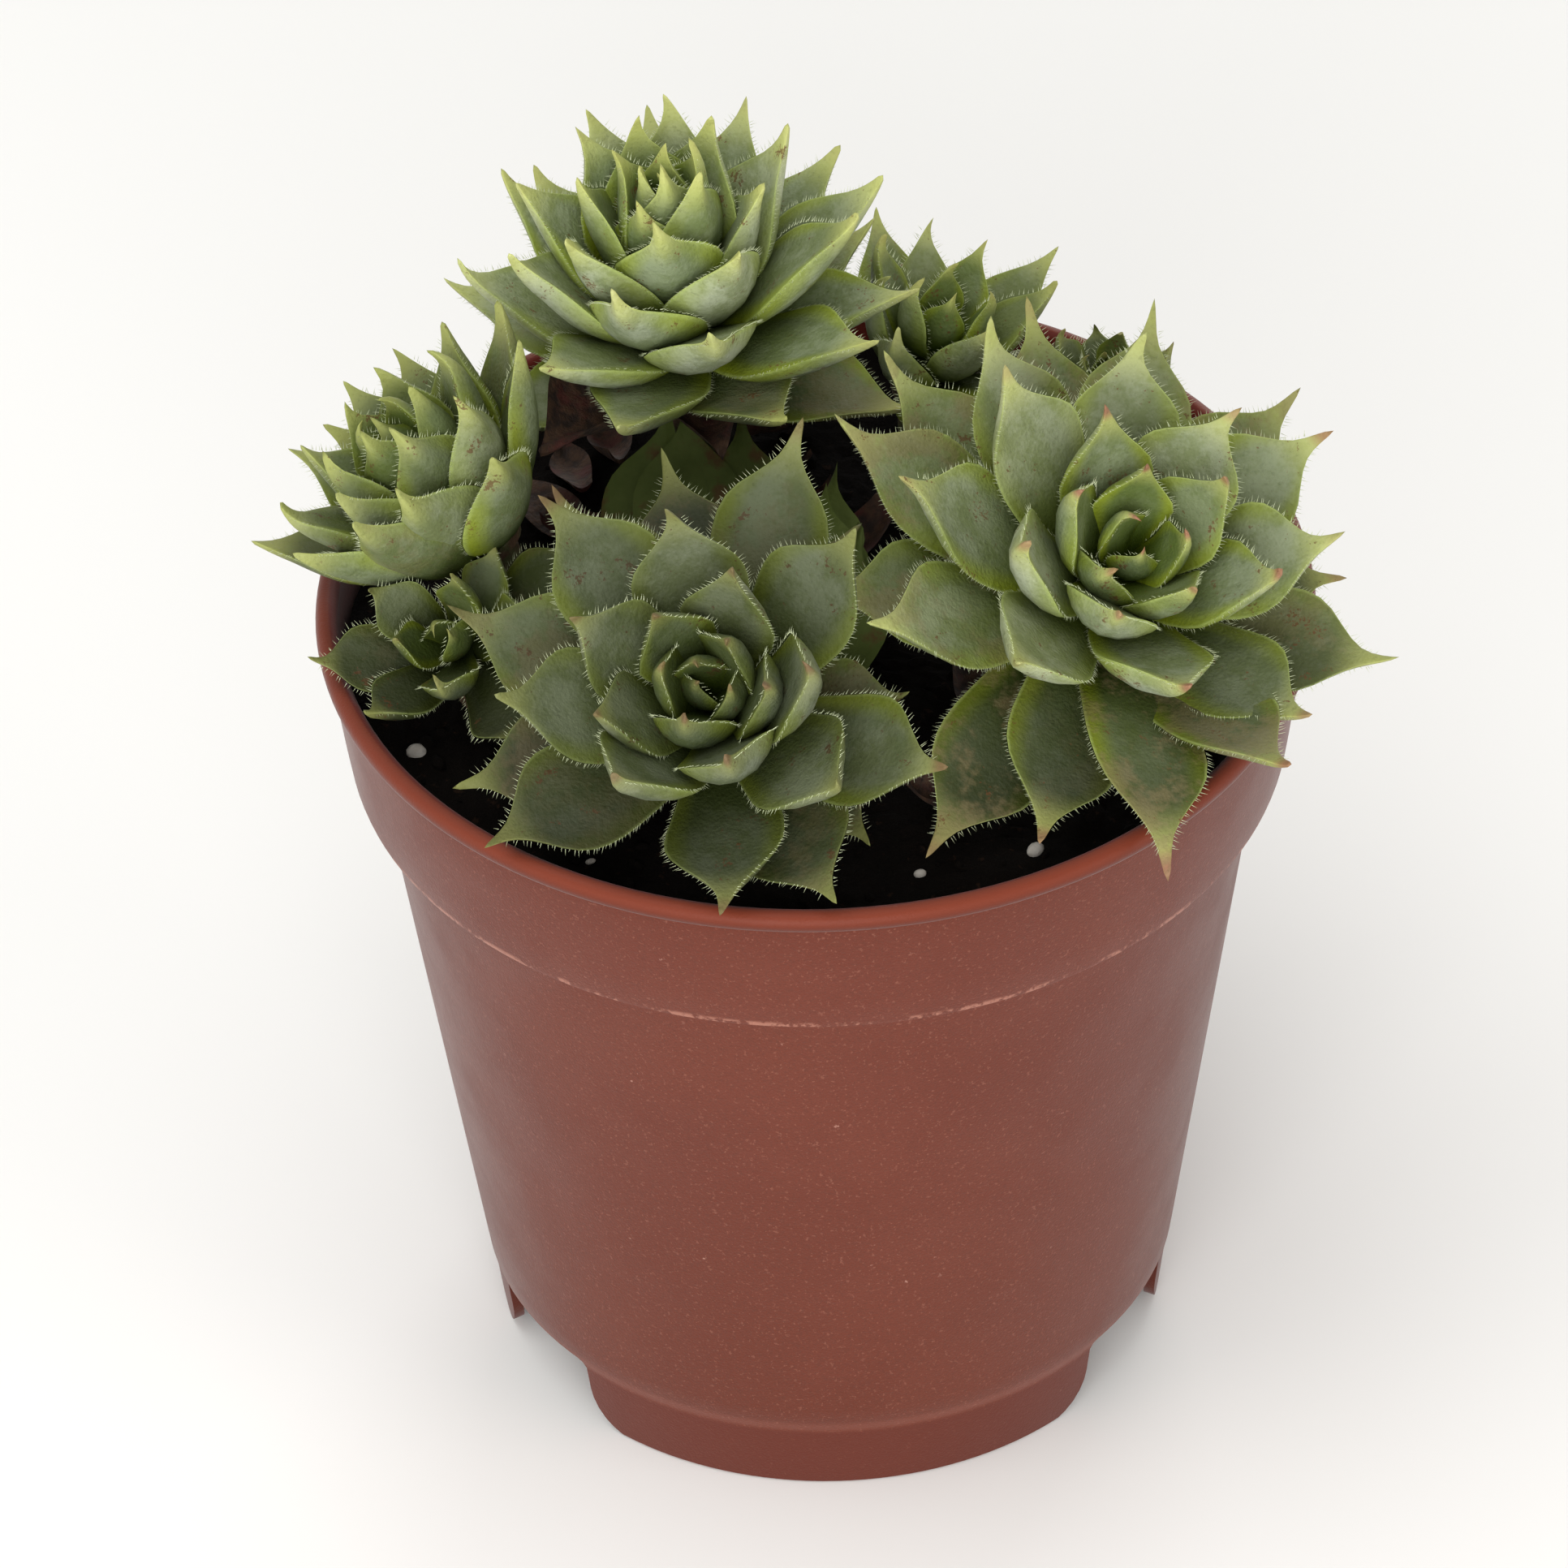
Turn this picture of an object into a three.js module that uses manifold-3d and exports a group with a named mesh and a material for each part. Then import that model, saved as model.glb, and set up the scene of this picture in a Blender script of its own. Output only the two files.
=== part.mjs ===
// Houseleek rosettes in a round, tapered nursery pot filled with dark soil.
// Millimetres and degrees. The origin is the middle of the pot's foot, +Z is up and -Y is the front.
import * as THREE from "three";
import { mergeVertices } from "three/addons/utils/BufferGeometryUtils.js";
import Module from "manifold-3d";

const wasm = await Module();
wasm.setup();
const { Manifold, Mesh } = wasm;

// ---- Pot: driving dimensions ----
const POT_HEIGHT = 93.2;
const POT_SIDES = 48;
const RIM_RADIUS = 52.5;
const LIP_WIDTH = 2.4;
const LIP_HEIGHT = 2.4;
const COLLAR_BOTTOM = 75.9; // height of the collar's lower edge
const COLLAR_RADIUS = 49.55; // at that edge
const COLLAR_TOP_RADIUS = 51.4; // just under the lip
const BODY_TOP_RADIUS = 46.9; // under the ledge
const LEDGE_FALL = 0.3; // the ledge under the collar slopes up by this
const LIP_ROUND = 0.8; // the lip's rounded edges
const LIP_SLOPE = 0.5; // height of the lip's lower edge
const FOOT_HEIGHT = 9;
const FOOT_TOP_RADIUS = 37.05;
const FOOT_RADIUS = 35.6;
const WALL = 1.3;
const WALL_STEP = 0.4; // the inside widens into the collar over this height and a wall's thickness
const FLOOR_UNDERSIDE = 9.6;
const FLOOR_THICKNESS = 1.5;
const NOTCH_HEIGHT = 9.2;
const NOTCH_WIDTH = 26; // degrees round the foot
const NOTCH_ANGLES = [-29, 91, 211];
const NOTCH_FLARE = 5; // radius of the feet's lower corners
const NOTCH_START = 28; // distance from the axis where the notch's cut starts
const NOTCH_REACH = 14; // length of the cut outward
const NOTCH_ARC_STEPS = 4;
const DRAIN_RADIUS = 3.5;
const DRAIN_PLACE = 26; // distance from the axis
const DRAIN_SIDES = 12;
const CUT_MARGIN = 1; // a cut reaches past the face that it opens

// ---- Soil: driving dimensions ----
const SOIL_SIDES = 32;
const SOIL_GAP = 0.45; // clear of the pot's wall
const SOIL_EDGE_DEPTH = 5.2; // under the rim, at the wall
const SOIL_MOUND = 1.2; // middle over edge
const SOIL_RELIEF = 0.45; // height of the lumps
const SOIL_RINGS = 7; // rings of faces from the wall to the middle
const GRAIN_SHAPE = [1.2, 0.9, 0.6]; // length, width and height of a grain of size 1
const GRAIN_REST = 0.2; // share of its size that a grain's middle stands over the soil
// Pale grit lying on the soil: x, y, size.
const GRAINS = [
  [0, -36.5, 1.5],
  [-28, -31, 1.2],
  [22, -37, 1.1],
  [-42, -18, 1.1],
  [44, 16, 1.2],
  [2, 44, 1.3],
  [-38, 26, 1.1],
  [36, -28, 1.0],
];

// ---- Rosettes: driving dimensions ----
// place: foot of the core; azimuth, rise: direction that the rosette faces; start: azimuth of its
// innermost leaf; turn: divergence from leaf to leaf; short, long: leaf lengths; closed, open: rise of
// the innermost and outermost leaves; spread, growth: how fast they change; full: count of leaves to
// the outermost size; core: radius and height; foot: where the stem stands in the soil;
// bends: leaves that stand off the rule, as [turned, raised, stretched, bowed]; gone: leaves lost;
// slim: share of the usual leaf width; curl: bend along the innermost leaf; pointed: long-tipped leaves.
const ROSETTES = {
  head_front: {
    place: [-10, -29.4, 101.2], azimuth: -107, rise: 55.5, start: 230, turn: 138.1, count: 32,
    short: 8, long: 28.5, closed: 89, open: 4, spread: 0.94, growth: 0.7, full: 24,
    core: [3, 7], foot: [-8, -21], stem: 3, gone: [26],
    bends: {
      2: [15, -10], 8: [-5, -5], 10: [0, 5], 12: [-20, 10], 13: [0, 10], 18: [10, 0], 19: [0, 0, 1.1],
      20: [-10, 0], 22: [0, 0, 1.1], 23: [5, 10, 0.9], 24: [0, 5], 25: [-15, 0, 0.6],
      28: [-5, 0, 0.6], 29: [5, 15, 0.9], 30: [15, -10, 0.9], 31: [-145, 15],
    },
  },
  head_right: {
    place: [29.5, -11.8, 102.2], azimuth: -52, rise: 58, start: 269, turn: 137.6, count: 36,
    short: 8, long: 31, closed: 80, open: 12, spread: 0.8, growth: 0.68, full: 25,
    core: [3, 6.5], foot: [26, -7.5], stem: 3, gone: [31],
    bends: {
      3: [10, -10], 4: [15, 0], 7: [10, 0], 10: [10, 0], 14: [-10, -5, 1.1], 18: [5, -5],
      19: [-5, 0], 21: [-5, -15, 1.1], 24: [-5, 5], 25: [10, -5], 26: [10, 20],
      28: [-5, -5, 0.8, -25], 29: [0, -5, 1.1, -10], 32: [0, 0, 0.9], 33: [0, 5],
      34: [5, 15, 1.1, -60],
    },
  },
  head_top: {
    place: [-13, 24.5, 108.2], azimuth: -149, rise: 83, start: 345, turn: 137.5, count: 44,
    short: 17, long: 25, closed: 88, open: -2, spread: 1, growth: 0.32, full: 42,
    core: [3, 7], foot: [-11.3, 24.5], stem: 3, curl: 8, pointed: true,
    bends: {
      6: [10, 0, 0.9], 7: [5, -5], 8: [-5, 5], 13: [-5, 0, 0.9], 21: [10, -5, 1.1],
      22: [0, 5], 26: [0, 0, 1.1], 29: [5, -5, 1.1], 30: [0, 5], 32: [-10, 0], 34: [0, 0, 1, -15],
      35: [-10, -20, 0.9], 37: [0, 5, 0.9], 39: [10, 0, 0.9],
      40: [-15, 5, 0.9], 41: [0, 0, 1.2], 43: [90, 0, 0.6],
    },
  },
  head_left: {
    place: [-34.4, 2.1, 100.5], azimuth: 172, rise: 52, start: 318.5, turn: 137.5, count: 26,
    short: 12.3, long: 23.6, closed: 88, open: 29, spread: 0.7, growth: 0.7, full: 26,
    core: [3, 7], foot: [-28.5, 2], stem: 3, curl: 35, pointed: true,
    bends: {
      19: [0, 5], 23: [0, 10], 24: [0, 20],
    },
  },
  head_rear: {
    place: [12, 28, 99.2], azimuth: -8, rise: 74, start: 34.5, turn: 137.5, count: 17,
    short: 7, long: 21, closed: 87, open: 21, spread: 0.84, growth: 0.62, full: 16,
    core: [2.4, 5], foot: [12, 27.5], stem: 2.7, slim: 0.75, curl: 35, pointed: true,
    bends: {
      2: [-15, 0], 10: [0, -5, 0.9], 12: [0, 25, 0.8], 15: [-25, -10], 16: [20, -10],
    },
  },
  pup_right: {
    place: [31, 25, 96.2], azimuth: -70, rise: 84, start: 115, turn: 137.5, count: 11,
    short: 6, long: 12, closed: 88, open: 28, spread: 0.9, growth: 0.6, full: 11,
    core: [2, 3.5], foot: [30.5, 24.5], stem: 2.1, slim: 0.75,
    bends: {
      8: [0, 0, 0.8], 10: [-15, -10],
    },
  },
  pup_left: {
    place: [-36.5, -10.6, 95.2], azimuth: -126, rise: 52, start: 109, turn: 137.5, count: 12,
    short: 6, long: 16, closed: 84, open: 4, spread: 0.88, growth: 0.6, full: 11.5,
    core: [2, 3.5], foot: [-34, -9.5], stem: 2.1, slim: 0.85,
    bends: {
      7: [0, 5], 8: [-30, 0, 0.8], 9: [-10, 0], 10: [10, 15, 1, -25],
    },
  },
};
const BEND_OUTER = 28; // bend along an outermost leaf, tip over root
const BEND_INNER = 55; // bend along the innermost leaf, unless the rosette states its own curl
const WIDTH_RATIO = 0.45; // leaf width for its length
const WIDTH_BASE = 2.2;
const WIDTH_MOST = 12.6;
const THICK_WIDTH = 9; // leaves narrower than this are thinner too
const AGE_MOST = 1.2; // leaves past the outermost size stop opening here
const KEEL_SHARE = 0.65; // share of the thickness under the midline
// Stations along an outer leaf: place, share of the full width, thickness. The tip follows.
const LEAF_OUTLINE = [
  [0, 0.5, 2.8],
  [0.3, 0.8, 2.9],
  [0.55, 1, 2.6],
  [0.74, 0.7, 2],
  [0.85, 0.32, 1.4],
  [0.93, 0.14, 0.8],
];
// The same for the pointed leaves of a tall head.
const POINTED_OUTLINE = [
  [0, 0.55, 2.9],
  [0.25, 0.85, 3],
  [0.47, 1, 2.7],
  [0.66, 0.7, 2],
  [0.8, 0.36, 1.4],
  [0.92, 0.14, 0.8],
];
// The same for the small leaves of the bud.
const BUD_OUTLINE = [
  [0, 0.5, 2.8],
  [0.53, 1, 2.5],
  [0.8, 0.46, 1.5],
];
const BUD_SHARE = 0.3; // share of the rosette's leaves that are bud leaves
// Stations up the core: share of its radius, more radius, share of its height, more height.
const CORE_OUTLINE = [
  [1, 0.6, 0, -1.6],
  [1, 1.5, 0, 0.3],
  [0.55, 1.4, 0.5, 0],
];
const CORE_BELOW = 2.2; // depth of the core's lowest point under its foot
const CORE_ABOVE = 1; // height of its top over the innermost leaves' roots
const STEM_SIDES = 10;
const STEM_DEPTH = 12; // reach of a stem under the rim
const HOLE_GAP = 0.35; // clear of the stem all round

// ---- Helpers ----
const rad = THREE.MathUtils.degToRad;

// A closed geometry as a solid, with its seam vertices joined and its pole slivers dropped.
function solidOf(geometry) {
  const loose = geometry.index ? geometry.toNonIndexed() : geometry;
  const bare = new THREE.BufferGeometry().setAttribute("position", loose.getAttribute("position"));
  const joined = mergeVertices(bare, 1e-4);
  const index = joined.index.array;
  const triangles = [];
  for (let i = 0; i < index.length; i += 3) {
    const [a, b, c] = index.slice(i, i + 3);
    if (a !== b && b !== c && c !== a) triangles.push(a, b, c);
  }
  return new Manifold(
    new Mesh({
      numProp: 3,
      vertProperties: joined.getAttribute("position").array,
      triVerts: new Uint32Array(triangles),
    }),
  );
}

// A closed skin over rings of points, each ring the same length, with a point at either end.
function skin(first, rings, last) {
  const points = [first, ...rings.flat(), last];
  const sides = rings[0].length;
  const at = (ring, side) => 1 + ring * sides + (side % sides);
  const index = [];
  for (let side = 0; side < sides; side++) {
    index.push(0, at(0, side + 1), at(0, side));
    for (let ring = 0; ring + 1 < rings.length; ring++) {
      index.push(at(ring, side), at(ring, side + 1), at(ring + 1, side + 1));
      index.push(at(ring, side), at(ring + 1, side + 1), at(ring + 1, side));
    }
    index.push(at(rings.length - 1, side), at(rings.length - 1, side + 1), points.length - 1);
  }
  const geometry = new THREE.BufferGeometry();
  geometry.setAttribute(
    "position",
    new THREE.Float32BufferAttribute(points.flatMap((p) => [p.x, p.y, p.z]), 3),
  );
  geometry.setIndex(index);
  return solidOf(geometry);
}

function meshOf(name, solid, material) {
  const made = solid.getMesh();
  const geometry = new THREE.BufferGeometry();
  geometry.setAttribute("position", new THREE.BufferAttribute(made.vertProperties, 3));
  geometry.setIndex(new THREE.BufferAttribute(made.triVerts, 1));
  geometry.computeVertexNormals();
  const mesh = new THREE.Mesh(geometry, material);
  mesh.name = name;
  return mesh;
}

// Keeps the largest body of a solid.
function mainBody(solid) {
  return solid.decompose().sort((a, b) => b.volume() - a.volume())[0];
}

// A straight round bar between two points.
function bar(from, to, radius, sides) {
  const along = to.clone().sub(from);
  const geometry = new THREE.CylinderGeometry(radius, radius, along.length(), sides);
  const place = new THREE.Matrix4().compose(
    from.clone().lerp(to, 0.5),
    new THREE.Quaternion().setFromUnitVectors(new THREE.Vector3(0, 1, 0), along.normalize()),
    new THREE.Vector3(1, 1, 1),
  );
  return solidOf(geometry.applyMatrix4(place));
}

// ---- Pot ----
function potWallRadius(z) {
  const slope = (BODY_TOP_RADIUS - FOOT_TOP_RADIUS) / (COLLAR_BOTTOM - FOOT_HEIGHT);
  return FOOT_TOP_RADIUS + slope * (z - FOOT_HEIGHT);
}

const FLOOR_TOP = FLOOR_UNDERSIDE + FLOOR_THICKNESS;
const LIP_BOTTOM = POT_HEIGHT - LIP_HEIGHT;
const INNER_STEP = COLLAR_BOTTOM - WALL; // height where the inside starts to widen into the collar
// Inside of the pot from the floor to the lip, as radius and height.
const POT_INSIDE = [
  [potWallRadius(FLOOR_TOP) - WALL, FLOOR_TOP],
  [potWallRadius(INNER_STEP) - WALL, INNER_STEP],
  [COLLAR_RADIUS - WALL, COLLAR_BOTTOM + WALL_STEP],
  [RIM_RADIUS - LIP_WIDTH, LIP_BOTTOM],
];

function makePot() {
  const outline = [
    [0, FLOOR_UNDERSIDE],
    [potWallRadius(FLOOR_UNDERSIDE) - WALL, FLOOR_UNDERSIDE],
    [FOOT_RADIUS - WALL, 0],
    [FOOT_RADIUS, 0],
    [FOOT_TOP_RADIUS, FOOT_HEIGHT],
    [BODY_TOP_RADIUS, COLLAR_BOTTOM - LEDGE_FALL],
    [COLLAR_RADIUS, COLLAR_BOTTOM],
    [COLLAR_TOP_RADIUS, LIP_BOTTOM],
    [RIM_RADIUS, LIP_BOTTOM + LIP_SLOPE],
    [RIM_RADIUS, POT_HEIGHT - LIP_ROUND],
    [RIM_RADIUS - LIP_ROUND, POT_HEIGHT],
    [RIM_RADIUS - LIP_WIDTH + LIP_ROUND, POT_HEIGHT],
    [RIM_RADIUS - LIP_WIDTH, POT_HEIGHT - LIP_ROUND],
    ...POT_INSIDE.slice().reverse(),
    [0, FLOOR_TOP],
  ].map(([r, z]) => new THREE.Vector2(r, z));
  const shell = solidOf(new THREE.LatheGeometry(outline, POT_SIDES).rotateX(Math.PI / 2));
  const cuts = NOTCH_ANGLES.flatMap((angle) => [notchBlock(rad(angle)), drainHole(rad(angle))]);
  return cuts.reduce((solid, cut) => solid.subtract(cut), shell);
}

// A block as wide as a notch, whose lower corners flare out around the feet beside it.
function notchBlock(angle) {
  const half = FOOT_RADIUS * rad(NOTCH_WIDTH / 2);
  const flared = half + NOTCH_FLARE;
  const outline = new THREE.Shape();
  outline.moveTo(-flared, -CUT_MARGIN);
  outline.absarc(-flared, NOTCH_FLARE, NOTCH_FLARE, -Math.PI / 2, 0, false);
  outline.lineTo(-half, NOTCH_HEIGHT);
  outline.lineTo(half, NOTCH_HEIGHT);
  outline.absarc(flared, NOTCH_FLARE, NOTCH_FLARE, Math.PI, 1.5 * Math.PI, false);
  outline.lineTo(flared, -CUT_MARGIN);
  const block = new THREE.ExtrudeGeometry(outline, {
    depth: NOTCH_REACH,
    bevelEnabled: false,
    curveSegments: NOTCH_ARC_STEPS,
  });
  const tangent = new THREE.Vector3(-Math.sin(angle), Math.cos(angle), 0);
  const outward = new THREE.Vector3(Math.cos(angle), Math.sin(angle), 0);
  const turn = new THREE.Matrix4().makeBasis(tangent, new THREE.Vector3(0, 0, 1), outward);
  turn.setPosition(outward.multiplyScalar(NOTCH_START));
  return solidOf(block.applyMatrix4(turn));
}

function drainHole(angle) {
  const middle = new THREE.Vector3(DRAIN_PLACE * Math.cos(angle), DRAIN_PLACE * Math.sin(angle), 0);
  const below = middle.clone().setZ(FLOOR_UNDERSIDE - CUT_MARGIN);
  const above = middle.clone().setZ(FLOOR_TOP + CUT_MARGIN);
  return bar(below, above, DRAIN_RADIUS, DRAIN_SIDES);
}

// ---- Rosettes ----
// The direction that a rosette faces and two directions square to it.
function frameOf(rosette) {
  const azimuth = rad(rosette.azimuth);
  const rise = rad(rosette.rise);
  const face = new THREE.Vector3(
    Math.cos(rise) * Math.cos(azimuth),
    Math.cos(rise) * Math.sin(azimuth),
    Math.sin(rise),
  );
  const side = new THREE.Vector3(1, 0, 0);
  side.addScaledVector(face, -side.dot(face)).normalize();
  return { face, side, up: face.clone().cross(side) };
}

// One leaf, counted from the innermost: an arc that leaves the core and bends back towards the face.
function makeLeaf(rosette, frame, number) {
  const [turned, raised, stretched = 1, bowed = 0] = rosette.bends[number] ?? [0, 0];
  const age = Math.min(number / rosette.full, AGE_MOST);
  const grown = Math.min(age, 1);
  const azimuth = rad(rosette.start - rosette.turn * number + turned);
  const opening = rosette.closed + (rosette.open - rosette.closed) * age ** rosette.spread;
  const length = (rosette.short + (rosette.long - rosette.short) * grown ** rosette.growth) * stretched;
  const bend = rad(BEND_OUTER + ((rosette.curl ?? BEND_INNER) - BEND_OUTER) * (1 - grown) + bowed);
  const start = rad(opening + raised) - bend / 2;
  const width = Math.min(WIDTH_MOST, WIDTH_RATIO * length + WIDTH_BASE) * (rosette.slim ?? 1);
  const stout = Math.min(1, width / THICK_WIDTH);
  const [coreRadius, coreHeight] = rosette.core;
  const out = frame.side.clone().multiplyScalar(Math.cos(azimuth));
  out.addScaledVector(frame.up, Math.sin(azimuth));
  const across = frame.face.clone().cross(out);
  const foot = new THREE.Vector3(...rosette.place);

  // A point of the leaf at a share of its length, moved across it and over its upper face.
  const point = (share, aside, over) => {
    const heading = start + bend * share;
    const arc = length / bend;
    const reach = coreRadius * age + arc * (Math.sin(heading) - Math.sin(start));
    const height = coreHeight * (1 - age) - arc * (Math.cos(heading) - Math.cos(start));
    return foot
      .clone()
      .addScaledVector(out, reach - Math.sin(heading) * over)
      .addScaledVector(frame.face, height + Math.cos(heading) * over)
      .addScaledVector(across, aside);
  };
  const grownOutline = rosette.pointed ? POINTED_OUTLINE : LEAF_OUTLINE;
  const outline = number < BUD_SHARE * rosette.count ? BUD_OUTLINE : grownOutline;
  const rings = outline.map(([share, wide, thick]) => {
    const half = (width * wide) / 2;
    const deep = thick * stout;
    return [
      point(share, half, 0),
      point(share, 0, deep * (1 - KEEL_SHARE)),
      point(share, -half, 0),
      point(share, 0, -deep * KEEL_SHARE),
    ];
  });
  return skin(point(0, 0, 0), rings, point(1, 0, 0));
}

// The smaller core that the leaves grow from, and the stem under it.
function makeCore(rosette, frame) {
  const [radius, height] = rosette.core;
  const foot = new THREE.Vector3(...rosette.place);
  const rings = CORE_OUTLINE.map(([radiusShare, wider, heightShare, higher]) =>
    Array.from({ length: STEM_SIDES }, (_, i) => {
      const angle = (2 * Math.PI * i) / STEM_SIDES;
      const r = radiusShare * radius + wider;
      const z = heightShare * height + higher;
      return foot
        .clone()
        .addScaledVector(frame.side, r * Math.cos(angle))
        .addScaledVector(frame.up, r * Math.sin(angle))
        .addScaledVector(frame.face, z);
    }),
  );
  const under = foot.clone().addScaledVector(frame.face, -CORE_BELOW);
  const over = foot.clone().addScaledVector(frame.face, height + CORE_ABOVE);
  return skin(under, rings, over).add(bar(stemFoot(rosette), foot, rosette.stem, STEM_SIDES));
}

function stemFoot(rosette) {
  return new THREE.Vector3(...rosette.foot, POT_HEIGHT - STEM_DEPTH);
}

function makeRosette(rosette) {
  const frame = frameOf(rosette);
  const pieces = [makeCore(rosette, frame)];
  for (let number = 0; number < rosette.count; number++) {
    if (!rosette.gone?.includes(number)) pieces.push(makeLeaf(rosette, frame, number));
  }
  return mainBody(Manifold.union(pieces));
}

// ---- Soil ----
function soilHeight(x, y) {
  const middle = SOIL_MOUND * (1 - (x * x + y * y) / RIM_RADIUS ** 2);
  const lumps = Math.sin(x / 4.1 + 1.3) * Math.cos(y / 3.7) + Math.sin((x - y) / 2.9) * 0.5;
  return POT_HEIGHT - SOIL_EDGE_DEPTH + middle + SOIL_RELIEF * lumps;
}

function makeSoil() {
  const edge = POT_HEIGHT - SOIL_EDGE_DEPTH;
  const [low, step, ledge, lip] = POT_INSIDE;
  const edgeShare = (edge - ledge[1]) / (lip[1] - ledge[1]);
  const edgeRadius = ledge[0] + (lip[0] - ledge[0]) * edgeShare - SOIL_GAP;
  const wall = [
    [low[0] - SOIL_GAP, low[1] + SOIL_GAP],
    [step[0] - SOIL_GAP, step[1] + WALL_STEP],
    [ledge[0] - SOIL_GAP, ledge[1] + SOIL_GAP],
  ];
  const surface = Array.from({ length: SOIL_RINGS }, (_, k) => edgeRadius * (1 - k / SOIL_RINGS));
  const ring = (radius, height) =>
    Array.from({ length: SOIL_SIDES }, (_, i) => {
      const angle = (2 * Math.PI * i) / SOIL_SIDES;
      const x = radius * Math.cos(angle);
      const y = radius * Math.sin(angle);
      return new THREE.Vector3(x, y, height ?? soilHeight(x, y));
    });
  const rings = [...wall.map(([r, z]) => ring(r, z)), ...surface.map((r) => ring(r))];
  let soil = skin(
    new THREE.Vector3(0, 0, wall[0][1]),
    rings,
    new THREE.Vector3(0, 0, soilHeight(0, 0)),
  );
  for (const [x, y, size] of GRAINS) {
    const grain = new THREE.IcosahedronGeometry(size, 0).scale(...GRAIN_SHAPE).rotateZ(x + y);
    soil = soil.add(solidOf(grain.translate(x, y, soilHeight(x, y) + GRAIN_REST * size)));
  }
  for (const rosette of Object.values(ROSETTES)) {
    const top = new THREE.Vector3(...rosette.place);
    const bottom = stemFoot(rosette);
    const down = bottom.clone().sub(top).normalize();
    bottom.addScaledVector(down, HOLE_GAP);
    soil = soil.subtract(bar(bottom, top, rosette.stem + HOLE_GAP, STEM_SIDES));
  }
  return mainBody(soil);
}

// ---- Materials ----
const terracotta = new THREE.MeshStandardMaterial({ color: 0x8c5044, roughness: 0.6, metalness: 0 });
const earth = new THREE.MeshStandardMaterial({ color: 0x1d1915, roughness: 0.95, metalness: 0 });
const leafGreen = new THREE.MeshStandardMaterial({ color: 0x6f8a5c, roughness: 0.55, metalness: 0 });

const plant = new THREE.Group();
plant.add(meshOf("pot", makePot(), terracotta));
plant.add(meshOf("soil", makeSoil(), earth));
for (const [name, rosette] of Object.entries(ROSETTES)) {
  plant.add(meshOf(name, makeRosette(rosette), leafGreen));
}

export default plant;
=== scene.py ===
import math

import bpy
import numpy as np
from mathutils import Matrix, Vector


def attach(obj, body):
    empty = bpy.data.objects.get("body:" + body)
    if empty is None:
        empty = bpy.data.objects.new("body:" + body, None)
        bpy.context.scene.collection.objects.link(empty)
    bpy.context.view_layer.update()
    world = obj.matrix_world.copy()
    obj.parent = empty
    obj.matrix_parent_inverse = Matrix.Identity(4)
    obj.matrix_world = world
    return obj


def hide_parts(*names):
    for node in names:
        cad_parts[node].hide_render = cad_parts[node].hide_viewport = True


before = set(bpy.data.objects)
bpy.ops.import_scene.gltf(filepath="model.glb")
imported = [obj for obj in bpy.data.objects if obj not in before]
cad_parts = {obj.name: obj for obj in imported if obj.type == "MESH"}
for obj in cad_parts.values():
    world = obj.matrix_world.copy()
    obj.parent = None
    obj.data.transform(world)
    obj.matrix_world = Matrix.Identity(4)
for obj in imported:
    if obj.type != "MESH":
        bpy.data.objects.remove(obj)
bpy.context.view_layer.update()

MM = 0.001
dice = np.random.default_rng(11)

# ---- Pot: radii and heights in millimetres, angles in degrees ----
POT_HEIGHT = 93.2
POT_SIDES = 144
RIM_RADIUS = 52.5
LIP_WIDTH = 2.4
LIP_BOTTOM = POT_HEIGHT - LIP_WIDTH
COLLAR_BOTTOM = 75.9
COLLAR_RADIUS = 49.55
COLLAR_TOP_RADIUS = 51.4
BODY_TOP_RADIUS = 46.9
FOOT_HEIGHT = 9
FOOT_TOP_RADIUS = 37.05
FOOT_RADIUS = 35.6
FOOT_ROUND = 0.25
WALL = 1.3
WALL_MIDDLE = COLLAR_RADIUS - WALL / 2  # at the collar's lower edge
COLLAR_FLARE = 0.125  # outward for each millimetre up
FLOOR_UNDERSIDE = 9.6
FLOOR_TOP = 11.1
FLOOR_RING = 20
NOTCH_HEIGHT = 9.2
NOTCH_WIDTH = 26
NOTCH_ANGLES = (-29, 91, 211)
NOTCH_FLARE = 5
NOTCH_STEPS = 6
NOTCH_INNER = 30
NOTCH_DEEP = 10
DRAIN_RADIUS = 3.5
DRAIN_PLACE = 26
DRAIN_SIDES = 32
DRAIN_CUT = 4

# ---- Soil ----
SOIL_EDGE_DEPTH = 5.2
SOIL_EDGE = POT_HEIGHT - SOIL_EDGE_DEPTH
SOIL_EDGE_RADIUS = 49.2
SOIL_BOTTOM_RADIUS = 35.2
SOIL_BOTTOM = 11.6
SOIL_GAP = 1.8  # wall and clearance, inward from the pot's outer face
SOIL_MOUND = 1.2
SOIL_RELIEF = 0.45
SOIL_RINGS = 40
SOIL_SIDES = 160
CRUMBS = 420
CRUMB_REACH = 49
# Pale grit on the soil: x, y and size.
GRIT = (
    (0, -36.5, 1.5), (-28, -31, 1.2), (22, -37, 1.1), (-42, -18, 1.1), (44, 16, 1.2), (2, 44, 1.3),
    (-38, 26, 1.1), (36, -28, 1.0), (-3.5, -38, 0.7), (-24, -36, 0.6), (10, -40, 0.7),
    (41, -20, 0.6), (-45, -8, 0.7),
)

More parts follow.
